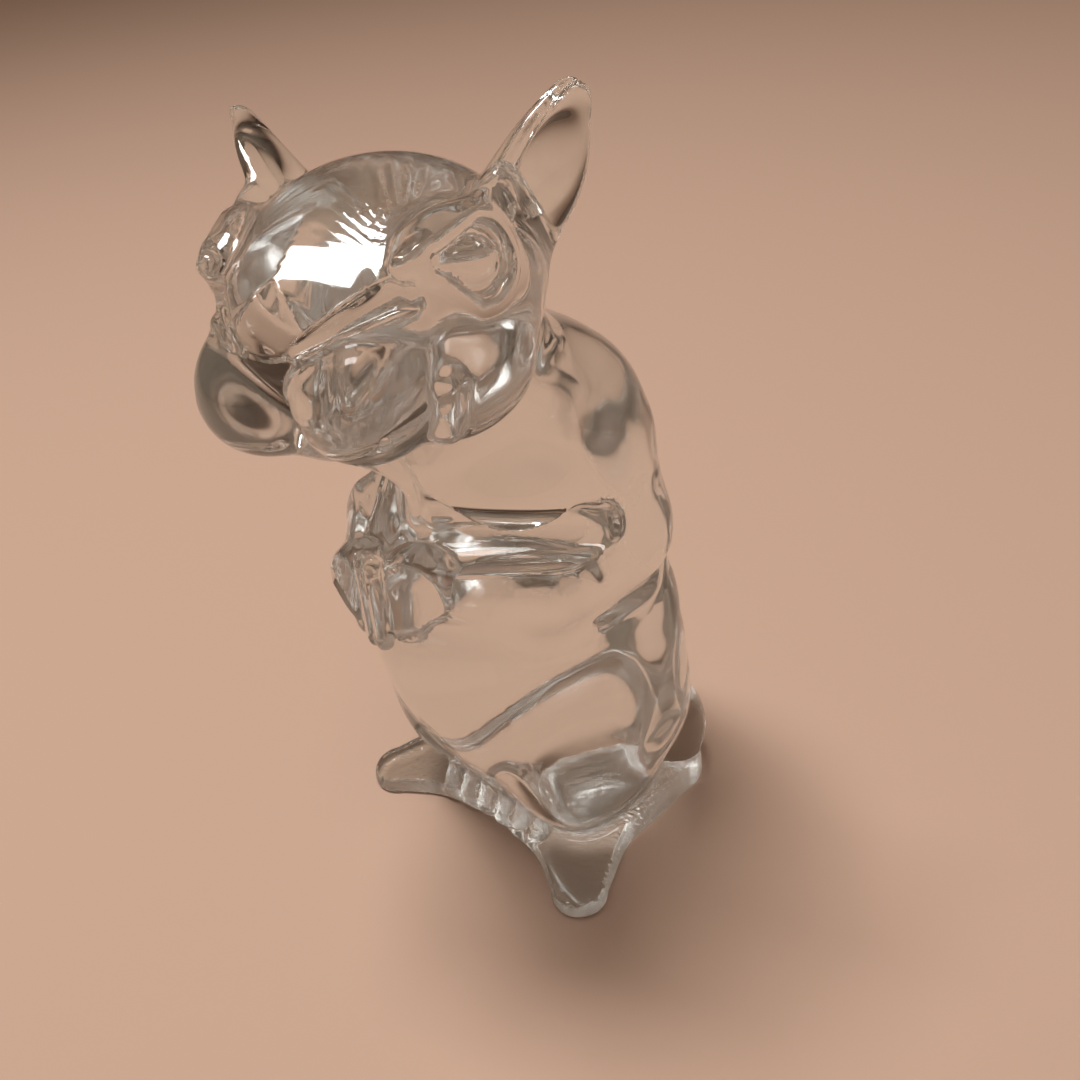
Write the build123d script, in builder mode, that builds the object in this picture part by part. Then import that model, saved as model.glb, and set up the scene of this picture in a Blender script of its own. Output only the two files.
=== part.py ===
"""A clear glass figurine: a small upright animal that holds its paws together on its chest.

The glassworker gathers the figure from separate masses of hot glass and joins them where they
touch, so each mass is a piece here: torso, head, ears, eyes, nose, arms, paws, haunches, feet.
The animal looks along -Y, its left side is +X and it stands on the plane Z = 0.
"""

import os
from math import asin, cos, pi, sin

from build123d import *

os.makedirs("parts", exist_ok=True)

# ---------------------------------------------------------------- driving dimensions (mm)

# Torso: an upright egg, lofted through level ellipses. Widths run along X and depths along
# Y; a lean is how far a station's centre stands in front of the origin.
base_width, base_depth, base_lean = 29.6, 27.4, 5.4
seat_height, seat_width, seat_depth, seat_lean = 8.0, 33.2, 30.4, 5.8
hip_height, hip_width, hip_depth, hip_lean = 20.0, 37.2, 38.8, 7.4
belly_height, belly_width, belly_depth, belly_lean = 34.0, 38.8, 45.2, 9.2
waist_height, waist_width, waist_depth, waist_lean = 48.0, 40.4, 44.4, 9.4
chest_height, chest_width, chest_depth, chest_lean = 60.0, 42.4, 35.6, 7.4
shoulder_height, shoulder_width, shoulder_depth, shoulder_lean = 70.0, 42.0, 33.2, 7.4
collar_height, collar_width, collar_depth, collar_lean = 77.0, 37.0, 32.4, 10.2
crest_height, crest_width, crest_depth, crest_lean = 82.0, 29.0, 25.6, 13.8
nape_height, nape_width, nape_depth, nape_lean = 86.0, 16.0, 17.0, 17.6

# Two full breasts of glass stand out on the chest, over a groove pressed above each forearm.
breast_radii, breast_place = (11.6, 9.4, 10.4), (8.2, -17.4, 67.0)
groove_inner, groove_inner_radius = (2.5, -30.6, 63.0), 5.0
groove_outer, groove_outer_radius = (21.8, -14.6, 61.4), 3.8

# Neck: a tapered round stem from the shoulders up into the head.
neck_root, neck_root_radius = (2.2, -16.5, 79.8), 12.5
neck_top_radius, neck_top_back, neck_top_drop = 11.2, 3.0, 5.0

# Head: built about its own centre, then turned to the animal's left and tipped a little.
head_height, head_lean, head_shift = 91.9, 26.1, 4.1
head_turn, head_tip = 17.0, -4.0
skull_radii, skull_rise = (17.4, 17.0, 14.5), 1.5
cheek_radii, cheek_place = (9.2, 10.5, 8.2), (9.2, -4.9, -3.4)
pad_radii, pad_place = (7.6, 10.0, 8.0), (6.0, -13.5, -1.8)
jaw_radii, jaw_place = (10.0, 9.5, 5.0), (0.0, -9.5, -6.6)

# Snout: an egg with a roof of two flat planes and one flat plane in front.
snout_radii, snout_place = (13.5, 13.2, 10.5), (0.0, -8.0, 3.5)
roof_slope, roof_facing, roof_reach = (0.302, -0.422, 0.854), (0.0, -0.844, 0.535), 15.85
front_reach = 19.8
hollow_front, hollow_middle, hollow_back = (3.2, -21.2, 4.6), (7.0, -17.2, 5.8), (11.6, -12.8, 7.2)
hollow_front_radius, hollow_middle_radius, hollow_back_radius = 0.7, 1.4, 2.2

# Nose: a bead on the tip of the snout.
nose_radii, nose_place = (3.6, 2.8, 3.2), (0.0, -17.6, 6.0)

# Eyes: each an oval bead in a low mound, under a brow that runs up to the ear.
eye_place, eye_facing, eye_along = (14.5, -6.3, 7.7), (0.90, -0.36, 0.24), (0.16, 0.93, -0.32)
eye_radii, eye_sink = (4.7, 3.5, 3.7), 0.9
mound_radii, mound_sink = (7.2, 5.6, 2.9), 1.2
lid_length, lid_height, lid_thickness, lid_rise = 5.2, 4.0, 1.8, 0.6
brow_inner, brow_inner_radius = (11.8, -12.2, 9.6), 1.4
brow_outer, brow_outer_radius = (15.2, 0.5, 11.0), 2.2

# Ears: a thin leaf, bent round its long axis, with a bowl scooped from the face it turns out.
# The right one was pulled a little further out than the left.
ear_root, ear_facing = (13.6, 6.4, 8.4), (0.85, -0.45, -0.30)
ear_tips = {"left": (21.6, 11.2, 19.4), "right": (23.0, 10.4, 19.2)}
ear_width, ear_thickness, ear_bend = 13.2, 6.0, 2.0
ear_bowl_width, ear_bowl_depth, ear_bowl_reach = 8.0, 3.2, 0.44

# Arms: an upper arm sunk in the shoulder, a forearm along the chest and a tapering wrist.
shoulder_point, shoulder_radius = (13.8, -8.6, 64.5), 7.2
elbow_point, elbow_radius = (16.8, -5.6, 55.5), 7.3
forearm_start, forearm_start_radius = (16.0, -8.5, 54.4), 6.8
forearm_bend, forearm_bend_radius = (14.4, -18.5, 53.6), 6.0
wrist_point, wrist_radius = (6.2, -28.2, 55.2), 3.9

# Paws: pressed together on the middle plane, each a palm with a long finger beside it.
palm_radii, palm_place = (5.0, 4.9, 6.3), (4.8, -30.8, 54.2)
facet_radii, facet_place = (7.4, 7.8, 5.6), (8.0, -40.4, 55.4)
finger_top, finger_top_radius = (0.9, -33.0, 59.4), 1.4
finger_tip, finger_tip_radius = (0.75, -34.8, 48.0), 1.0

# Haunches: a thigh, a hip behind it, a heel and a low flank, with an inner face by the torso.
haunch_inset = 5.0
thigh_radii, thigh_place = (11.6, 16.8, 24.6), (11.2, -8.8, 24.0)
hip_top, hip_top_radius = (12.0, -2.8, 39.0), 9.8
hip_bottom, hip_bottom_radius = (12.2, -3.6, 22.0), 11.2
heel_radii, heel_place = (6.6, 7.0, 9.5), (14.2, 5.6, 8.5)
flank_radii, flank_place = (8.0, 13.5, 7.6), (12.2, -5.0, 2.0)

# Feet: a flat slab to each side, thinner towards the toes, which are thrown out in front.
foot_thickness, foot_fall, foot_edge = 5.2, 0.1, 0.6
sole_back, sole_back_radius = (15.0, 4.0), 6.4
sole_front, sole_front_radius = (15.0, -12.0), 5.0
toe_root, toe_root_radius = (14.5, -17.0), 7.3
toe_tip, toe_tip_radius = (20.2, -24.0), 4.4
web_inner, web_inner_radius = (0.0, -12.0), 9.2
web_outer, web_outer_radius = (12.0, -15.0), 8.0


# ------------------------------------------------------------------------- shared forms


def ellipsoid(centre, radii):
    """A sphere of radius 1 with its poles fore and aft, stretched to three radii and set in place."""
    ball = Rot(90, 0, 0) * Sphere(1, mode=Mode.PRIVATE)
    return Location(centre) * scale(ball, by=radii, mode=Mode.PRIVATE)


def limb(start, end, start_radius, end_radius):
    """A round limb: two balls and the cone that touches both, made as one revolved solid."""
    axis = Vector(*end) - Vector(*start)
    slope = asin((start_radius - end_radius) / axis.length)
    shoulder = (start_radius * cos(slope), start_radius * sin(slope))
    cuff = (end_radius * cos(slope), axis.length + end_radius * sin(slope))
    with BuildPart(mode=Mode.PRIVATE) as limb_part:
        with BuildSketch(Plane.XZ):
            with BuildLine():
                RadiusArc((0, -start_radius), shoulder, -start_radius)
                Line(shoulder, cuff)
                RadiusArc(cuff, (0, axis.length + end_radius), -end_radius)
                Line((0, axis.length + end_radius), (0, -start_radius))
            make_face()
        revolve(axis=Axis.Z)
    return Plane(origin=start, z_dir=axis).location * limb_part.part


def across(point):
    """The same point on the animal's other side."""
    return (-point[0], point[1], point[2])


def other_side(form):
    """The mirror image of a form in the plane X = 0."""
    return mirror(form, about=Plane.YZ, mode=Mode.PRIVATE)


def facing_plane(facing, reach):
    """The plane that lies reach away from the origin and looks along facing."""
    normal = Vector(*facing).normalized()
    return Plane(origin=normal * reach, z_dir=normal)


# ---------------------------------------------------------------------------------- head
# The forms below are made about the head's own centre and then set on the neck.

head_place = Location((head_shift, -head_lean, head_height), (0, 0, head_turn))
head_place = head_place * Location((0, 0, 0), (0, head_tip, 0))

with BuildPart() as snout:
    add(ellipsoid(snout_place, snout_radii))
    for slope in (roof_slope, across(roof_slope)):
        split(bisect_by=facing_plane(slope, roof_reach), keep=Keep.BOTTOM)
    split(bisect_by=facing_plane(roof_facing, front_reach), keep=Keep.BOTTOM)

eye_frame = Vector(*eye_facing).cross(Vector(*eye_along)).cross(Vector(*eye_facing))
eye_seat = Plane(origin=eye_place, x_dir=eye_frame, z_dir=eye_facing).location
eye_bead = eye_seat * ellipsoid((0, 0, -eye_sink), eye_radii)

with BuildPart() as lid:
    Torus(lid_length, lid_thickness / 2)
lid_ring = scale(lid.part, by=(1, lid_height / lid_length, 1), mode=Mode.PRIVATE)

with BuildPart() as face_side:
    add(ellipsoid(cheek_place, cheek_radii))
    add(ellipsoid(pad_place, pad_radii))
    add(eye_seat * ellipsoid((0, 0, -mound_sink), mound_radii))
    add(eye_seat * Location((0, 0, lid_rise)) * lid_ring)
    add(limb(brow_inner, brow_outer, brow_inner_radius, brow_outer_radius))

with BuildPart() as under_hollow:
    add(limb(hollow_front, hollow_middle, hollow_front_radius, hollow_middle_radius))
    add(limb(hollow_middle, hollow_back, hollow_middle_radius, hollow_back_radius))

with BuildPart() as eye_left:
    add(head_place * eye_bead)

with BuildPart() as eye_right:
    add(head_place * other_side(eye_bead))

with BuildPart() as nose:
    add(head_place * ellipsoid(nose_place, nose_radii))

with BuildPart() as head:
    add(head_place * ellipsoid((0, 0, skull_rise), skull_radii))
    add(head_place * ellipsoid(jaw_place, jaw_radii))
    for form in (face_side.part, other_side(face_side.part), snout.part):
        add(head_place * form)
    for form in (under_hollow.part, other_side(under_hollow.part)):
        add(head_place * form, mode=Mode.SUBTRACT)
    for bead in (eye_left, eye_right, nose):
        add(bead.part, mode=Mode.SUBTRACT)

# ---------------------------------------------------------------------------------- ears

# share of the length from root to tip, then shares of the full width and thickness
ear_stations = (
    (-0.28, 1.0, 1.2),
    (0.0, 1.0, 1.0),
    (0.30, 0.97, 0.80),
    (0.60, 0.79, 0.60),
    (0.85, 0.49, 0.43),
    (1.0, 0.27, 0.33),
)


def bent_oval(width, thickness):
    """A closed curve: an oval that is bent up at both ends by the square of its width."""
    corners = []
    for step in range(12):
        angle = 2 * pi * step / 12
        out, up = width / 2 * cos(angle), thickness / 2 * sin(angle)
        corners.append((out, up + ear_bend * ((2 * out / ear_width) ** 2 - 0.4)))
    return Spline(*corners, periodic=True)


def ear_leaf(tip):
    """A bent leaf lofted from root to tip, its bowl scooped from the face it turns out."""
    root = Vector(*ear_root)
    length = (Vector(*tip) - root).length
    along = (Vector(*tip) - root).normalized()
    foot = Plane(origin=root, x_dir=Vector(*ear_facing).cross(along), z_dir=along)
    with BuildPart(mode=Mode.PRIVATE) as leaf:
        for share, width, thickness in ear_stations:
            with BuildSketch(foot.offset(share * length)):
                with BuildLine():
                    bent_oval(ear_width * width, ear_thickness * thickness)
                make_face()
        loft()
        bowl = ellipsoid((0, 0, 0), (ear_bowl_width / 2, ear_bowl_depth, ear_bowl_reach * length))
        middle = Location((0, ear_bowl_depth - ear_bend * 0.3, length / 2))
        add(foot.location * middle * bowl, mode=Mode.SUBTRACT)
    return leaf.part


with BuildPart() as ear_left:
    add(head_place * ear_leaf(ear_tips["left"]))
    add(head.part, mode=Mode.SUBTRACT)

with BuildPart() as ear_right:
    add(head_place * other_side(ear_leaf(ear_tips["right"])))
    add(head.part, mode=Mode.SUBTRACT)

# ---------------------------------------------------------------- the torso's outer form

torso_stations = (
    (0.0, base_width, base_depth, base_lean),
    (seat_height, seat_width, seat_depth, seat_lean),
    (hip_height, hip_width, hip_depth, hip_lean),
    (belly_height, belly_width, belly_depth, belly_lean),
    (waist_height, waist_width, waist_depth, waist_lean),
    (chest_height, chest_width, chest_depth, chest_lean),
    (shoulder_height, shoulder_width, shoulder_depth, shoulder_lean),
    (collar_height, collar_width, collar_depth, collar_lean),
    (crest_height, crest_width, crest_depth, crest_lean),
    (nape_height, nape_width, nape_depth, nape_lean),
)

with BuildPart() as egg:
    for height, width, depth, lean in torso_stations:
        with BuildSketch(Plane.XY.offset(height)):
            with Locations((0, -lean)):
                Ellipse(width / 2, depth / 2)
    loft()

groove = limb(groove_inner, groove_outer, groove_inner_radius, groove_outer_radius)

# ------------------------------------------------------------------------- paws and arms

with BuildPart() as paw_left:
    add(ellipsoid(palm_place, palm_radii))
    add(ellipsoid(facet_place, facet_radii), mode=Mode.SUBTRACT)
    add(limb(finger_top, finger_tip, finger_top_radius, finger_tip_radius))
    split(bisect_by=Plane.YZ, keep=Keep.TOP)

with BuildPart() as upper_arm_left:
    add(limb(shoulder_point, elbow_point, shoulder_radius, elbow_radius))
    add(groove, mode=Mode.SUBTRACT)

with BuildPart() as forearm_left:
    add(limb(forearm_start, forearm_bend, forearm_start_radius, forearm_bend_radius))
    add(limb(forearm_bend, wrist_point, forearm_bend_radius, wrist_radius))
    add(groove, mode=Mode.SUBTRACT)
    add(upper_arm_left.part, mode=Mode.SUBTRACT)
    add(paw_left.part, mode=Mode.SUBTRACT)

# ---------------------------------------------------------------------- haunches and feet


def rounded_strip(start, end, start_radius, end_radius):
    """A flat strip round two discs, drawn as the outline that wraps both."""
    with BuildSketch(mode=Mode.PRIVATE) as strip:
        with Locations(start):
            Circle(start_radius)
        with Locations(end):
            Circle(end_radius)
        make_hull()
    return strip.sketch


with BuildPart() as foot_left:
    with BuildSketch(Plane.XY):
        add(rounded_strip(sole_back, sole_front, sole_back_radius, sole_front_radius))
        add(rounded_strip(toe_root, toe_tip, toe_root_radius, toe_tip_radius))
        add(rounded_strip(web_inner, web_outer, web_inner_radius, web_outer_radius))
    extrude(amount=2 * foot_thickness)
    top = Plane(origin=(0, 0, foot_thickness), z_dir=(0, -foot_fall, 1))
    split(bisect_by=top, keep=Keep.BOTTOM)
    rim = foot_left.faces().sort_by(Axis.Z)[-1].edges()
    fillet(rim, foot_edge)
    split(bisect_by=Plane.YZ, keep=Keep.TOP)
    add(egg.part, mode=Mode.SUBTRACT)

with BuildPart() as haunch_left:
    add(ellipsoid(thigh_place, thigh_radii))
    add(limb(hip_top, hip_bottom, hip_top_radius, hip_bottom_radius))
    add(ellipsoid(heel_place, heel_radii))
    add(ellipsoid(flank_place, flank_radii))
    split(bisect_by=Plane.XY, keep=Keep.TOP)
    split(bisect_by=Plane.YZ.offset(haunch_inset), keep=Keep.TOP)
    for neighbour in (foot_left, upper_arm_left, forearm_left):
        add(neighbour.part, mode=Mode.SUBTRACT)

with BuildPart() as haunch_right:
    mirror(haunch_left.part, about=Plane.YZ)

with BuildPart() as foot_right:
    mirror(foot_left.part, about=Plane.YZ)

with BuildPart() as paw_right:
    mirror(paw_left.part, about=Plane.YZ)

with BuildPart() as upper_arm_right:
    mirror(upper_arm_left.part, about=Plane.YZ)

with BuildPart() as forearm_right:
    mirror(forearm_left.part, about=Plane.YZ)

# --------------------------------------------------------------------------------- torso

neck_top = Vector(head_shift, neck_top_back - head_lean, head_height - neck_top_drop)

with BuildPart() as neck:
    add(limb(neck_root, tuple(neck_top), neck_root_radius, neck_top_radius))
    add(upper_arm_left.part, mode=Mode.SUBTRACT)
    add(upper_arm_right.part, mode=Mode.SUBTRACT)

with BuildPart() as torso_side:
    add(egg.part)
    add(ellipsoid(breast_place, breast_radii))
    split(bisect_by=Plane.YZ, keep=Keep.TOP)
    add(groove, mode=Mode.SUBTRACT)
    for neighbour in (haunch_left, upper_arm_left, forearm_left, paw_left):
        add(neighbour.part, mode=Mode.SUBTRACT)

# a shaving of glass may be left between an arm and its groove, so the largest piece is kept
torso_half = torso_side.solids().sort_by(SortBy.VOLUME)[-1]

with BuildPart() as torso:
    add(torso_half)
    mirror(torso_half, about=Plane.YZ)
    add(neck.part)
    add(head.part, mode=Mode.SUBTRACT)

# -------------------------------------------------------------------------------- output

pieces = {
    "torso": torso,
    "head": head,
    "eye_left": eye_left,
    "eye_right": eye_right,
    "nose": nose,
    "ear_left": ear_left,
    "ear_right": ear_right,
    "upper_arm_left": upper_arm_left,
    "upper_arm_right": upper_arm_right,
    "forearm_left": forearm_left,
    "forearm_right": forearm_right,
    "paw_left": paw_left,
    "paw_right": paw_right,
    "haunch_left": haunch_left,
    "haunch_right": haunch_right,
    "foot_left": foot_left,
    "foot_right": foot_right,
}
for name, piece in pieces.items():
    piece.part.label = name
    export_step(piece.part, f"parts/{name}.step")
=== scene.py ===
from math import cos, radians, sin

import bpy
import numpy as np
from mathutils import Matrix, Vector


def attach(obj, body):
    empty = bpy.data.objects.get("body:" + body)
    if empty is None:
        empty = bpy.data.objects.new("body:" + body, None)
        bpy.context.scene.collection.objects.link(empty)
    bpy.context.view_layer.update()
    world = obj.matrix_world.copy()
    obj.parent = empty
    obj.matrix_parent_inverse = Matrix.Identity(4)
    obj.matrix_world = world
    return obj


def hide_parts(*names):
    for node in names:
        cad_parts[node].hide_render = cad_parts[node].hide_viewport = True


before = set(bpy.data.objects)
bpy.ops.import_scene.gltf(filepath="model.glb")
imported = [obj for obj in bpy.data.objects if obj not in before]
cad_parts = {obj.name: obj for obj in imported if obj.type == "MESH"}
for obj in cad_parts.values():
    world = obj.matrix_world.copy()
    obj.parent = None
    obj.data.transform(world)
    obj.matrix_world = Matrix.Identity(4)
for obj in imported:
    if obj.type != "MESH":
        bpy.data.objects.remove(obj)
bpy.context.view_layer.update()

# ------------------------------------------------------------------------------- torso
# The body is one upright egg of solid crystal, gathered first and marvered round: wide at
# the belly, narrower at the chest, and drawn in to a neck. All sizes are in millimetres,
# and every form below is a field that is negative inside the glass and zero at its skin.

# height, forward lean of the centre, half width and half depth of each level section
TORSO_LEVELS = np.array([
    (-6.0, 5.0, 13.0, 12.5),
    (8.0, 5.8, 16.6, 15.2),
    (20.0, 7.4, 18.6, 19.4),
    (34.0, 9.2, 19.4, 22.6),
    (48.0, 9.4, 20.2, 22.2),
    (60.0, 7.4, 21.2, 17.8),
    (70.0, 7.4, 21.0, 16.6),
    (77.0, 10.2, 18.5, 16.2),
    (82.0, 13.8, 14.5, 12.8),
    (86.0, 17.6, 8.0, 8.5),
])
TORSO_TOP = 86.0
# an ellipsoid is given by its centre and its three radii, and where a form comes in pairs,
# the one on the animal's left stands for both
CHEST = (8.2, -17.4, 67.0), (11.6, 9.4, 10.4)


def smooth_between(levels, at):
    """Carry each column of the levels smoothly between their heights: on each span a cubic
    that leaves every level with the slope of the chord through its two neighbours."""
    height, values = levels[:, 0], levels[:, 1:]
    slope = np.gradient(values, height, axis=0)
    at = np.clip(at, height[0], height[-1])
    span = np.clip(np.searchsorted(height, at, side="right") - 1, 0, len(height) - 2)
    step = (height[span + 1] - height[span])[..., None]
    t = (at - height[span])[..., None] / step
    start, end = values[span], values[span + 1]
    return (
        (2 * t**3 - 3 * t**2 + 1) * start + (t**3 - 2 * t**2 + t) * step * slope[span]
        + (3 * t**2 - 2 * t**3) * end + (t**3 - t**2) * step * slope[span + 1]
    )


def oval(across, over, half_width, half_depth):
    """How far a point lies outside an ellipse: k (k - 1) / |gradient|, where k is its
    distance from the centre in half widths. The tiny terms keep the centre finite."""
    k = np.sqrt((across / half_width) ** 2 + (over / half_depth) ** 2) + 1e-9
    slope = np.sqrt((across / half_width**2) ** 2 + (over / half_depth**2) ** 2 + 1e-12)
    return k * (k - 1) / slope


def ellipsoid(p, centre, radii):
    """How far p lies outside an ellipsoid: k (k - 1) / |gradient|, where k is p's distance
    from the centre measured in radii."""
    q = p - np.asarray(centre)
    radii = np.asarray(radii, dtype=float)
    k = np.sqrt(((q / radii) ** 2).sum(-1))
    return k * (k - 1) / np.maximum(np.sqrt(((q / radii**2) ** 2).sum(-1)), 1e-9)


def both(p):
    """The same points folded onto the animal's left, so that one form makes both sides."""
    return np.concatenate([np.abs(p[..., :1]), p[..., 1:]], axis=-1)


def torso(p):
    """Level ellipses whose centre, width and depth follow the heights in TORSO_LEVELS."""
    level = smooth_between(TORSO_LEVELS, p[..., 2])
    side = oval(p[..., 0], p[..., 1] + level[..., 0], level[..., 1], level[..., 2])
    return np.maximum(side, p[..., 2] - TORSO_TOP)


def chest(p):
    """Two ellipsoids side by side that meet in a seam down the middle of the chest."""
    return ellipsoid(both(p), *CHEST)


# ------------------------------------------------------------------- haunches and feet
# Thigh, hip and heel of each side were pressed on hot and ground flat underneath. The feet
# are flat slabs that meet under the belly, with broad toes thrown out to the side and a
# row of short ridges between them, where the tool gripped the glass.

THIGH = (11.2, -8.8, 24.0), (11.6, 16.8, 24.0)
HEEL = (14.2, 5.6, 8.5), (6.6, 7.0, 9.5)
FLANK = (12.2, -5.0, 2.0), (8.0, 13.5, 7.6)
# a rod is given by its two ends and the radius at each
HIP = (12.0, -2.8, 39.0), (12.2, -3.6, 22.0), 9.8, 11.2
WAIST = (12.8, -4.0, 56.0), (12.0, -3.6, 39.0), 7.2, 9.2
THIGH_LINE = (13.4, -28.0, 43.0), (15.0, -27.0, 26.0), 0.6, 1.2
SOLE = (15.0, 4.0, 1.0), (15.0, -12.0, 1.0), 6.4, 5.0
TOE = (14.5, -17.0, 0.5), (20.2, -24.0, 0.5), 7.3, 4.3
WEB = (0.0, -12.0, 1.0), (12.0, -15.0, 1.0), 9.2, 8.0
RIDGES = (
    ((1.9, -18.5, 9.5), (1.9, -20.6, 2.0), 1.3, 1.9),
    ((5.7, -18.3, 9.5), (5.7, -20.9, 2.0), 1.3, 1.9),
    ((9.4, -17.8, 9.0), (9.4, -21.4, 2.0), 1.3, 1.8),
)
# a plane is given by the way it faces and how far it lies out along that
SLAB_TOP = (0.0, -0.1, 1.0), 5.2


def rod(p, start, end, start_radius, end_radius):
    """How far p lies outside a rod whose radius runs evenly from one end to the other."""
    start = np.asarray(start, dtype=float)
    along = np.asarray(end, dtype=float) - start
    share = np.clip((p - start) @ along / (along @ along), 0, 1)
    gap = np.sqrt(((p - start - share[..., None] * along) ** 2).sum(-1))
    return gap - (start_radius + (end_radius - start_radius) * share)


def beyond(p, facing, reach):
    """The space past a plane: its reach less how far p lies out along the way it faces."""
    return reach - p @ np.array(facing)


def join(a, b, melt):
    """The union of two forms, flowed together where their skins are within melt of each
    other: the lesser, less the cube of their nearness."""
    near = np.maximum(melt - np.abs(a - b), 0) / melt
    return np.minimum(a, b) - near**3 * melt / 6


def carve(a, b, melt):
    """What is left of a when b is taken out of it, with the edge eased over melt."""
    return -join(-a, b, melt)


def haunches(p):
    """A tall ellipsoid for each thigh, rods for the hip and the waist above it, which fill
    the hollow below the elbow, and a small heel, all melted together."""
    q = both(p)
    flank = np.minimum(rod(q, *HIP), rod(q, *WAIST))
    thigh = join(ellipsoid(q, *THIGH), flank, melt=6.0)
    return join(thigh, ellipsoid(q, *HEEL), melt=2.0)


def thigh_line(p):
    """The thin crease down the front of each thigh."""
    return rod(both(p), *THIGH_LINE)


def feet(p):
    """Flat rods from heel to toe and across the front, cut level at the slab's top, and a
    low ellipsoid that swells up from the slab along each flank."""
    q = both(p)
    slab = join(rod(q, *SOLE), rod(q, *TOE), melt=2.0)
    slab = join(slab, rod(q, *WEB), melt=2.0)
    slab = carve(slab, beyond(q, *SLAB_TOP), melt=0.6)
    return join(slab, ellipsoid(q, *FLANK), melt=3.0)


def ridges(p):
    """Three short rods on each side, from the belly down to the front edge of the slab."""
    q = both(p)
    return np.minimum.reduce([rod(q, *ridge) for ridge in RIDGES])


# ---------------------------------------------------------------------- arms and paws
# Each arm is a tapered cane of glass bent at the elbow and laid along the chest. The paws
# are pinched together on the middle line with tongs, which pressed flat faces on them and
# drew the fingers down the front. The right paw came out a little further than the left.

UPPER_ARM = (13.4, -9.0, 66.0), (16.8, -5.6, 55.5), 7.4, 7.3
FOREARM = (16.4, -6.5, 54.4), (14.4, -18.5, 53.6), 6.8, 6.0
WRIST = (14.4, -18.5, 53.6), (4.8, -29.8, 55.6), 6.0, 4.2
HOLLOW = (2.5, -30.6, 63.0), (21.8, -14.6, 61.4), 5.0, 3.8
CREASE = (18.0, -13.0, 45.6), (22.4, -1.0, 48.2), 1.2, 2.4
LEFT_PALM = (4.6, -30.2, 56.6), (2.3, -32.4, 49.8), 5.2, 2.8
RIGHT_PALM = (-5.0, -31.2, 54.2), (-2.5, -32.8, 49.6), 5.0, 2.8
FINGER = (0.95, -33.8, 59.8), (0.8, -34.6, 47.9), 1.4, 1.2
# a plane, and the ellipsoid that bounds what the tongs took off in front of it
FACETS = (
    (((0.36, -0.933, 0.0), 32.5), ((6.0, -36.0, 56.0), (8.0, 8.0, 9.0))),
    (((0.42, -0.78, -0.46), 4.4), ((4.0, -36.5, 50.0), (6.0, 5.0, 4.5))),
    (((-0.15, -0.97, 0.19), 44.8), ((-8.0, -38.0, 56.0), (8.0, 8.0, 9.0))),
)


def arms(p):
    """Three tapered rods for each arm: shoulder to elbow, elbow to forearm, and to wrist."""
    q = both(p)
    arm = join(rod(q, *UPPER_ARM), rod(q, *FOREARM), melt=2.0)
    return join(arm, rod(q, *WRIST), melt=3.0)


def hollow(p):
    """The groove that the tool pressed between each forearm and the chest above it."""
    return rod(both(p), *HOLLOW)


def crease(p):
    """The undercut below each elbow, where the haunch was pressed up against the arm."""
    return rod(both(p), *CREASE)


def palms(p):
    """A rod for each palm that tapers down to the fingertips."""
    return join(rod(p, *LEFT_PALM), rod(p, *RIGHT_PALM), melt=0.6)


def facets(p):
    """The space past each of the pressed faces, as far as its ellipsoid reaches."""
    return np.minimum.reduce([
        np.maximum(beyond(p, *plane), ellipsoid(p, *bound)) for plane, bound in FACETS
    ])


def fingers(p):
    """A pair of long narrow rods down the front, where the two paws meet."""
    return rod(both(p), *FINGER)


# --------------------------------------------------------------------------------- head
# The head is a second gather, turned a little to the animal's left. Cheeks, whisker pads,
# jaw and bridge are pressed on it, and eyes and nose are beads dropped on while hot.

HEAD_CENTRE = np.array([4.1, -26.1, 91.9])
# 17 degrees to its left, and tipped 4 degrees sideways
HEAD_TURN = np.array(
    Matrix.Rotation(radians(17.0), 3, "Z") @ Matrix.Rotation(radians(-4.0), 3, "Y")
)
NECK = (2.2, -16.5, 79.8), HEAD_CENTRE + (0.0, 3.0, -5.0), 12.5, 11.0

# from here on in the head's own axes, from its centre
SKULL = (0.0, 0.5, 1.5), (17.4, 17.0, 14.5)
CHEEK = (9.2, -4.9, -3.4), (9.2, 10.5, 8.2)
JAW = (0.0, -9.5, -6.6), (10.0, 9.5, 5.0)
WHISKER_PAD = (6.0, -13.5, -1.8), (7.6, 10.0, 8.0)
SNOUT = (0.0, -8.0, 3.5), (13.5, 13.2, 10.5)
ROOF, ROOF_MIDDLE, ROOF_BOW = ((0.302, -0.422, 0.854), 16.3), (4.5, -12.0, 11.0), 0.014
BRIDGE_FRONT = (0.0, -0.844, 0.535), 19.8
INNER_UNDERCUT = (3.2, -21.2, 4.6), (7.0, -17.2, 5.8), 0.7, 1.4
OUTER_UNDERCUT = (7.0, -17.2, 5.8), (11.6, -12.8, 7.2), 1.4, 2.2
NOSE = (0.0, -17.8, 6.4), (4.6, 3.6, 4.4)
NOSE_TOP, NOSE_SIDE = ((0.72, 0.0, 0.69), 7.04), ((0.60, 0.0, -0.80), -2.2)

# the fan of drawn lines: the corner it spreads from, how far out and at what angle (in
# radians) it is strongest, each with how fast it fades, and the height where it begins and
# over which it grows to its full strength
FAN_CORNER = 12.0, -12.0
FAN_REACH, FAN_SPREAD = 10.5, 4.5
FAN_ANGLE, FAN_OPENING = 0.75, 0.42
FAN_FOOT, FAN_RISE = 8.5, 2.5
LINE_HEIGHT, LINES_PER_TURN = 0.05, 48

EYE_CENTRE = np.array([14.5, -6.3, 7.7])
EYE_OUT, EYE_LONG = np.array([0.90, -0.36, 0.24]), np.array([0.16, 0.93, -0.32])
BROW = (11.8, -12.2, 9.6), (15.2, 0.5, 11.0), 1.4, 2.2
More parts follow.
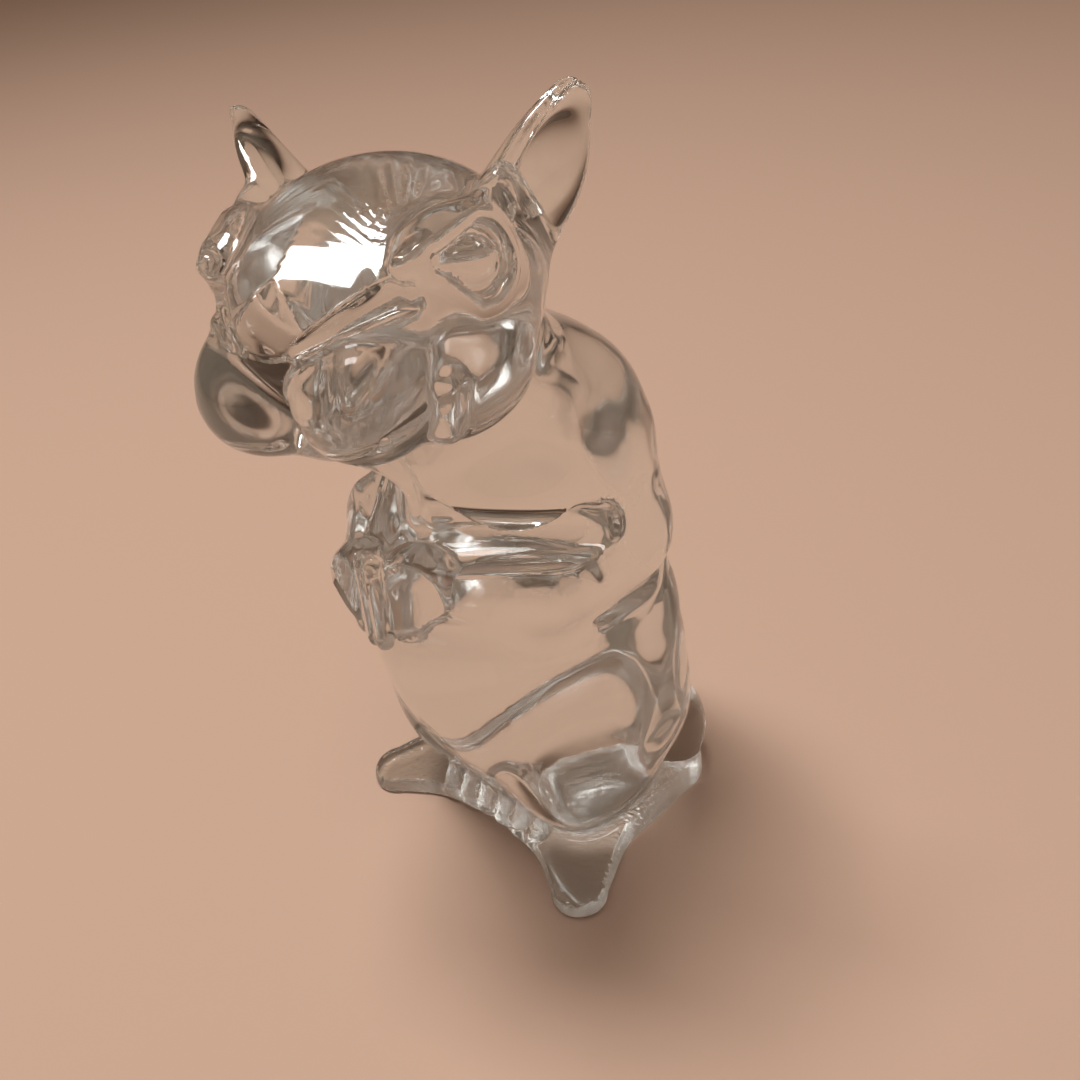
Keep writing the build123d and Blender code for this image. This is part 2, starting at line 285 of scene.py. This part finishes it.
# in the eye's own axes: along it, across it and outwards
TEARDROP = (0.9, 0.0, 0.0), (-3.9, 0.2, 0.0), 3.3, 0.5
LID_MOUND = (0.6, 0.2, -1.2), (7.2, 5.6, 2.9)
RIM_OUT, RIM_UP, RIM_RADIUS = 0.9, 0.7, 0.9
SOCKET_FLOOR = 0.2
EYEBALL = (0.6, 0.0, -1.2), (3.7, 2.7, 3.2)

LIP = (0.0, -20.8, -6.4), (10.8, -20.0, -4.6), 0.6, 0.6
LIP_CORNER = (10.8, -20.0, -4.6), (15.0, -15.2, -3.4), 0.6, 0.8
CORNER_FOLD = (13.6, -12.6, -2.4), (12.6, -12.6, -6.6), 2.2, 2.2
LIP_GROOVE = (0.0, -23.4, 3.0), (0.0, -22.2, -6.0), 0.5, 0.8


def drawn_lines(q):
    """Fine ridges that fan over the brow from the inner corner of each eye: the sine of the
    angle about that corner, faded out to the sides, below, and with the distance from it."""
    inwards, back = FAN_CORNER[0] - q[..., 0], q[..., 1] - FAN_CORNER[1]
    reach, angle = np.hypot(inwards, back), np.arctan2(back, inwards)
    fade = np.exp(
        -(((reach - FAN_REACH) / FAN_SPREAD) ** 2) - ((angle - FAN_ANGLE) / FAN_OPENING) ** 2
    )
    risen = np.clip((q[..., 2] - FAN_FOOT) / FAN_RISE, 0, 1)
    return LINE_HEIGHT * np.sin(LINES_PER_TURN * angle) * fade * risen


def head(h):
    """Skull, cheeks, jaw, whisker pads, snout and nose, each melted into the one before.
    The snout's roof planes bow away with the square of the distance from their middle."""
    q = both(h)
    form = join(ellipsoid(h, *SKULL), ellipsoid(q, *CHEEK), melt=3.0)
    form = join(form, ellipsoid(h, *JAW), melt=3.0)
    form = join(form, ellipsoid(q, *WHISKER_PAD), melt=1.8)
    bow = ROOF_BOW * ((q - ROOF_MIDDLE) ** 2).sum(-1)
    snout = carve(ellipsoid(h, *SNOUT), beyond(q, *ROOF) - bow, melt=0.8)
    snout = carve(snout, beyond(h, *BRIDGE_FRONT), melt=0.4)
    form = join(form, snout, melt=1.2) - drawn_lines(q)
    undercut = np.minimum(rod(q, *INNER_UNDERCUT), rod(q, *OUTER_UNDERCUT))
    form = carve(form, undercut, melt=0.6)
    nose = carve(ellipsoid(h, *NOSE), beyond(q, *NOSE_TOP), melt=0.5)
    nose = carve(nose, beyond(q, *NOSE_SIDE), melt=0.5)
    return join(form, nose, melt=0.3)


def in_frame(p, centre, out, long):
    """p seen from centre, along three square axes: long, across, and out of the surface."""
    out = out / np.sqrt(out @ out)
    long = long - (long @ out) * out
    long = long / np.sqrt(long @ long)
    q = p - centre
    return np.stack([q @ long, q @ np.cross(out, long), q @ out], axis=-1)


def eyes(h, form):
    """A low mound, a brow and a rim for the lids on form, a teardrop socket and a ball in
    it. The rim is a round rod that follows the teardrop's outline just outside it."""
    eye = in_frame(both(h), EYE_CENTRE, EYE_OUT, EYE_LONG)
    form = join(form, ellipsoid(eye, *LID_MOUND), melt=3.0)
    form = join(form, rod(both(h), *BROW), melt=2.0)
    teardrop = rod(eye * (1, 1, 0), *TEARDROP)
    rim = np.hypot(teardrop - RIM_OUT, eye[..., 2] - RIM_UP) - RIM_RADIUS
    form = join(form, rim, melt=1.4)
    socket = carve(teardrop, eye[..., 2] - SOCKET_FLOOR, melt=0.4)
    form = carve(form, socket, melt=1.1)
    return join(form, ellipsoid(eye, *EYEBALL), melt=0.9)


def mouth(h, form):
    """A fold at each corner of the mouth, a thin slit cut in form from the middle of the
    lip to each corner, and the groove from the nose down to the lip."""
    q = both(h)
    form = join(form, rod(q, *CORNER_FOLD), melt=1.4)
    form = carve(form, np.minimum(rod(q, *LIP), rod(q, *LIP_CORNER)), melt=0.8)
    return carve(form, rod(h, *LIP_GROOVE), melt=0.8)


# --------------------------------------------------------------------------------- ears
# Pointed leaves pulled out of the head with tongs. The outer face is scooped to a bowl
# with a rounded rim, and the edge thins towards the tip.

EAR_ROOT = np.array([13.6, 6.4, 8.4])
LEFT_TIP, RIGHT_TIP = np.array([21.6, 11.2, 19.4]), np.array([23.0, 10.4, 19.2])
EAR_FACE = np.array([0.85, -0.45, -0.30])
# share of the length from root to tip, half width, half thickness
EAR_LEVELS = np.array([
    (-0.3, 6.6, 3.6),
    (0.0, 6.6, 3.0),
    (0.3, 6.4, 2.4),
    (0.6, 5.2, 1.8),
    (0.85, 3.2, 1.3),
    (1.1, 1.2, 0.9),
])
# how much the leaf curls towards its face with the square of its width, how far it is set
# back behind the line from root to tip, and how far it runs on into the head
EAR_CURL, EAR_BACK, EAR_INTO_HEAD = 0.05, 0.8, 4.0
# the bowl's middle and half length as shares of the ear's length, then its middle's place
# in front of the leaf, its half width and its depth
BOWL_MIDDLE, BOWL_LONG, BOWL_OUT, BOWL_WIDE, BOWL_DEEP = 0.47, 0.44, 2.6, 4.0, 3.2


def ear(h, tip):
    """A leaf whose width and thickness follow EAR_LEVELS, less an ellipsoid for its bowl."""
    length = np.sqrt((tip - EAR_ROOT) @ (tip - EAR_ROOT))
    leaf = in_frame(h, EAR_ROOT, tip - EAR_ROOT, EAR_FACE)
    out, across, along = np.moveaxis(leaf, -1, 0)
    level = smooth_between(EAR_LEVELS, along / length)
    form = oval(across, out - EAR_CURL * across**2 + EAR_BACK, level[..., 0], level[..., 1])
    form = carve(form, length - along, melt=2.4)
    form = np.maximum(form, -along - EAR_INTO_HEAD)
    bowl = ellipsoid(
        np.stack([along, across, out], axis=-1),
        (length * BOWL_MIDDLE, 0.0, BOWL_OUT), (length * BOWL_LONG, BOWL_WIDE, BOWL_DEEP),
    )
    return carve(form, bowl, melt=0.8)


def ears(h):
    """The left ear and the right, which was pulled a little further out."""
    return np.minimum(ear(h, LEFT_TIP), ear(h * (-1, 1, 1), RIGHT_TIP))


# ------------------------------------------------------------------------ the whole glass
# Hot glass joins without a seam, so torso, limbs, head and ears are one skin here: the
# forms above are melted together, cut flat at the ground, and meshed as one closed solid.

# grid lines each way, as stops and the step between each two of them: finest at the face,
# the paws and the edge of the feet, so that the piece stays under 200,000 triangles
GRID_X = (-25.0, 6.0, 24.0, 27.0), (0.5, 0.43, 0.5)
GRID_Y = (-52.0, -45.0, -27.0, 16.0), (0.5, 0.43, 0.52)
GRID_Z = (
    (-1.0, 6.0, 44.0, 62.0, 76.0, 88.0, 106.0, 116.5),
    (0.5, 0.95, 0.55, 0.9, 0.48, 0.43, 0.48),
)
MM = 0.001


def figure(p):
    """All the forms, each melted into the next over its own width, above the ground."""
    body = join(torso(p), haunches(p), melt=6.0)
    body = join(body, feet(p), melt=1.6)
    body = join(body, ridges(p), melt=0.8)
    body = join(body, chest(p), melt=3.0)
    body = join(body, arms(p), melt=5.0)
    body = carve(body, hollow(p), melt=1.2)
    body = carve(body, crease(p), melt=3.0)
    body = carve(body, thigh_line(p), melt=1.0)
    body = join(body, palms(p), melt=1.2)
    body = carve(body, facets(p), melt=0.35)
    body = join(body, fingers(p), melt=0.5)
    body = join(body, rod(p, *NECK), melt=6.0)
    h = (p - HEAD_CENTRE) @ HEAD_TURN
    face = join(mouth(h, eyes(h, head(h))), ears(h), melt=3.0)
    body = join(body, face, melt=2.0)
    return carve(body, p[..., 2], melt=0.5)


def spaced(stops, steps):
    """Grid lines between the stops, at each span's own step."""
    spans = [np.arange(a, b, step) for a, b, step in zip(stops[:-1], stops[1:], steps)]
    return np.concatenate(spans + [[stops[-1]]])


def measured(form, lines, stride=4, margin=1.8):
    """The form's value at every grid point that may lie near its skin. It is measured at
    every fourth line first, and elsewhere 1 or -1 only says outside or inside."""
    shape = tuple(len(line) for line in lines)
    sparse = np.meshgrid(*(line[::stride] for line in lines), indexing="ij")
    rough = form(np.stack(sparse, axis=-1))

    def spread(block):
        """Each value repeated stride times along every axis, and cut to the grid."""
        for axis in range(3):
            block = block.repeat(stride, axis)
        return block[tuple(slice(n) for n in shape)]

    close = np.abs(rough) < stride * margin * max(np.diff(line).max() for line in lines)
    corner = np.lib.stride_tricks.sliding_window_view(close, (2, 2, 2))
    near = spread(np.pad(corner.any(axis=(3, 4, 5)), (0, 1), mode="edge"))
    value = spread(np.where(rough < 0, -1.0, 1.0))
    spots = np.stack([line[at] for line, at in zip(lines, np.nonzero(near))], axis=-1)
    value[near] = np.concatenate([form(part) for part in np.array_split(spots, 16)])
    return value


def unpinched(value):
    """Where only two opposite corners of a grid square lie inside, the skin would touch
    itself along an edge, so the nearer of the other two is taken as inside as well."""
    for first, second in ((0, 1), (0, 2), (1, 2)) * 2:
        view = np.moveaxis(value, (first, second), (0, 1))
        side = view < 0
        i, j, k = np.argwhere(
            (side[:-1, :-1] == side[1:, 1:]) & (side[1:, :-1] == side[:-1, 1:])
            & (side[:-1, :-1] != side[1:, :-1])
        ).T
        square = np.stack([view[i + a, j + b, k] for b in (0, 1) for a in (0, 1)])
        pick = np.where(square < 0, np.inf, square).argmin(0)
        view[i + pick % 2, j + pick // 2, k] *= -1
    return value


def net(form, lines):
    """The skin of a form as quads. Each grid cell that the skin crosses gets one corner, at
    the mean of the crossings on the cell's edges, and each crossed edge gets one quad."""
    value = unpinched(measured(form, lines))
    inside = value < 0
    cells = tuple(n - 1 for n in inside.shape)
    total, count = np.zeros(cells + (3,)), np.zeros(cells)
    rings = []
    for axis in range(3):
        along, second, third = np.roll(np.eye(3, dtype=int), -axis, axis=0)
        start = inside.take(range(cells[axis]), axis)
        edge = np.argwhere(start != inside.take(range(1, cells[axis] + 1), axis))
        a, b = value[tuple(edge.T)], value[tuple((edge + along).T)]
        low, high = (
            np.stack([line[at] for line, at in zip(lines, end.T)], axis=-1)
            for end in (edge, edge + along)
        )
        place = low + (a / (a - b))[:, None] * (high - low)
        ring = [edge - second - third, edge - third, edge, edge - second]
        for cell in ring:
            np.add.at(total, tuple(cell.T), place)
            np.add.at(count, tuple(cell.T), 1)
        rings.append((ring, start[tuple(edge.T)]))
    held = count > 0
    number = np.full(cells, -1)
    number[held] = np.arange(held.sum())
    quads = []
    for ring, outwards in rings:
        quad = np.stack([number[tuple(cell.T)] for cell in ring], axis=-1)
        quads.append(np.where(outwards[:, None], quad, quad[:, ::-1]))
    return total[held] / count[held][:, None], np.concatenate(quads)


def slope_of(form, points, step=0.02):
    """The gradient of a form, from its change over a small step each way along each axis."""
    moves = np.eye(3) * step
    return np.stack(
        [(form(points + move) - form(points - move)) / (2 * step) for move in moves], axis=-1
    )


def drawn_to_skin(form, points, times=3, longest=0.4, least_slope=0.05):
    """Move each point along the form's slope until it lies on the skin: by the form's value
    over the slope's square, which counts as no less than least_slope."""
    for _ in range(times):
        slope = slope_of(form, points)
        reach = form(points) / np.maximum((slope**2).sum(-1), least_slope)
        points = points - slope * np.clip(reach, -longest, longest)[:, None]
    return points


corners, quads = net(figure, [spaced(*axis) for axis in (GRID_X, GRID_Y, GRID_Z)])
corners = drawn_to_skin(figure, corners)
corners[:, 2] = np.maximum(corners[:, 2], 0.0)
glass_mesh = bpy.data.meshes.new("glass_figure")
glass_mesh.from_pydata((corners * MM).tolist(), [], quads.tolist())
glass_mesh.shade_smooth()
facing = slope_of(figure, corners)
glass_mesh.normals_split_custom_set_from_vertices(
    (facing / np.sqrt((facing**2).sum(-1))[:, None]).tolist()
)
glass = bpy.data.objects.new("glass_figure", glass_mesh)
bpy.context.collection.objects.link(glass)


def linear(code):
    """An sRGB hex colour as linear red, green, blue and alpha 1."""
    parts = [int(code[i:i + 2], 16) / 255 for i in (1, 3, 5)]
    return [c / 12.92 if c <= 0.04045 else ((c + 0.055) / 1.055) ** 2.4 for c in parts] + [1.0]


def node(tree, kind, settings=(), **links):
    """Add one node, set its inputs and properties by name, and link what links names."""
    made = tree.nodes.new(kind)
    for name, value in dict(settings).items():
        if isinstance(name, int) or name in made.inputs:
            made.inputs[name].default_value = value
        else:
            setattr(made, name, value)
    for name, socket in links.items():
        tree.links.new(socket, made.inputs[name.replace("_", " ")])
    return made


# Lead crystal, fire polished: clear, colourless and smooth, so it takes its look from what
# it bends and mirrors. The slight roughness softens only what has passed many faces.
# Cords are the faint waves of hot working, 4 mm apart and drawn out to 11 mm upwards. The
# underside is ground: real grit is finer, and is drawn 0.8 mm wide so that it shows.
CORD_WIDTH, CORD_LENGTH, CORD_HEIGHT = 4.16667, 11.1111, 0.04
GRIT, GRIT_HEIGHT, UNDERSIDE_TOP = 0.769231, 0.16, 0.1

crystal = bpy.data.materials.new("lead crystal, fire polished")
crystal.use_nodes = True
tree = crystal.node_tree
tree.nodes.clear()
place = node(tree, "ShaderNodeTexCoord").outputs["Object"]
height = node(tree, "ShaderNodeSeparateXYZ", Vector=place).outputs["Z"]
underside = node(tree, "ShaderNodeMath", {"operation": "LESS_THAN", 1: UNDERSIDE_TOP * MM})
tree.links.new(height, underside.inputs[0])
grit = node(tree, "ShaderNodeTexNoise", {"Scale": 1 / (GRIT * MM), "Detail": 3.0}, Vector=place)
ground = node(
    tree, "ShaderNodeBump", {"Distance": GRIT_HEIGHT * MM},
    Height=grit.outputs["Fac"], Strength=underside.outputs["Value"],
)
per_metre = 1 / (CORD_WIDTH * MM), 1 / (CORD_WIDTH * MM), 1 / (CORD_LENGTH * MM)
pulled = node(tree, "ShaderNodeMapping", {"Scale": per_metre}, Vector=place)
cords = node(
    tree, "ShaderNodeTexNoise", {"Scale": 1.0, "Detail": 1.0}, Vector=pulled.outputs["Vector"]
)
wavy = node(
    tree, "ShaderNodeBump", {"Distance": CORD_HEIGHT * MM, "Strength": 1.0},
    Height=cords.outputs["Fac"], Normal=ground.outputs["Normal"],
)
skin = node(tree, "ShaderNodeBsdfPrincipled", {
    "Base Color": linear("#F3F6F4"), "Roughness": 0.055, "IOR": 1.53,
    "Transmission Weight": 1.0,
}, Normal=wavy.outputs["Normal"])
node(tree, "ShaderNodeOutputMaterial", Surface=skin.outputs["BSDF"])
glass_mesh.materials.append(crystal)
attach(glass, "root")
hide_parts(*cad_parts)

# -------------------------------------------------------------------------------- floor
# A wide plain floor in a pale warm beige, a hair below the ground so that the two faces
# never lie in each other.

FLOOR_REACH, FLOOR_Z = 3.0, -0.0002
FLOOR_CORNERS = (-1, -1), (1, -1), (1, 1), (-1, 1)

floor_mesh = bpy.data.meshes.new("floor")
floor_mesh.from_pydata(
    [(x * FLOOR_REACH, y * FLOOR_REACH, FLOOR_Z) for x, y in FLOOR_CORNERS], [], [(0, 1, 2, 3)]
)
floor = bpy.data.objects.new("floor", floor_mesh)
bpy.context.collection.objects.link(floor)

# matt paint: it throws light evenly, with hardly any shine
paint = bpy.data.materials.new("plain matt floor")
paint.use_nodes = True
paint.node_tree.nodes.clear()
matt = node(paint.node_tree, "ShaderNodeBsdfPrincipled", {
    "Base Color": linear("#C9A893"), "Roughness": 0.9, "Specular IOR Level": 0.1,
})
node(paint.node_tree, "ShaderNodeOutputMaterial", Surface=matt.outputs["BSDF"])
floor_mesh.materials.append(paint)

# ---------------------------------------------------------------------- light and camera
# A soft lamp overhead to the left, whose mirror image lies on the bridge of the nose, a
# weak one overhead in front, and a dim warm room. Lengths are in metres, power in watts.

# how far up the eye looks, as the sine of that angle, and the room's colour there
ROOM_TONES = (0.1, "#33251C"), (0.95, "#857668")

world = bpy.data.worlds.new("room")
bpy.context.scene.world = world
world.use_nodes = True
world.node_tree.nodes.clear()
direction = node(world.node_tree, "ShaderNodeTexCoord").outputs["Generated"]
rise = node(world.node_tree, "ShaderNodeSeparateXYZ", Vector=direction).outputs["Z"]
tone = node(world.node_tree, "ShaderNodeValToRGB", Fac=rise)
for stop, (up, colour) in zip(tone.color_ramp.elements, ROOM_TONES):
    stop.position, stop.color = up, linear(colour)
room = node(
    world.node_tree, "ShaderNodeBackground", {"Strength": 1.0}, Color=tone.outputs["Color"]
)
node(world.node_tree, "ShaderNodeOutputWorld", Surface=room.outputs["Background"])


def lamp(name, place, aim, width, height, power):
    """A white rectangular soft lamp at place that faces aim."""
    data = bpy.data.lights.new(name, "AREA")
    data.shape, data.size, data.size_y = "RECTANGLE", width, height
    data.energy = power
    made = bpy.data.objects.new(name, data)
    made.location = place
    made.rotation_euler = (Vector(aim) - Vector(place)).to_track_quat("-Z", "Y").to_euler()
    bpy.context.collection.objects.link(made)


lamp("window", (-0.19, -0.10, 0.95), (0.06, -0.02, 0.05), width=0.19, height=0.38, power=7.6)
lamp("ceiling", (0.22, -0.24, 0.95), (0, 0, 0.05), width=0.22, height=0.13, power=0.8)

CAMERA_PLACE = 0.09597, -0.09645, 0.13893
CAMERA_TURN, CAMERA_RISE, CAMERA_ROLL = 46.0, 35.0, 7.0
CAMERA_LENS, CAMERA_NEAREST = 36.67, 0.005

ahead = Vector((
    -sin(radians(CAMERA_TURN)) * cos(radians(CAMERA_RISE)),
    cos(radians(CAMERA_TURN)) * cos(radians(CAMERA_RISE)),
    -sin(radians(CAMERA_RISE)),
))
camera_data = bpy.data.cameras.new("camera")
camera_data.sensor_width = 36.0
camera_data.lens = CAMERA_LENS
camera_data.clip_start = CAMERA_NEAREST
camera = bpy.data.objects.new("camera", camera_data)
camera.location = CAMERA_PLACE
upright = ahead.to_track_quat("-Z", "Y").to_matrix()
camera.rotation_euler = (upright @ Matrix.Rotation(radians(-CAMERA_ROLL), 3, "Z")).to_euler()
bpy.context.collection.objects.link(camera)
bpy.context.scene.camera = camera
bpy.context.scene.view_settings.view_transform = "Standard"

# solid glass passes light on many times before it leaves
cycles = bpy.context.scene.cycles
cycles.max_bounces = cycles.glossy_bounces = cycles.transmission_bounces = 32
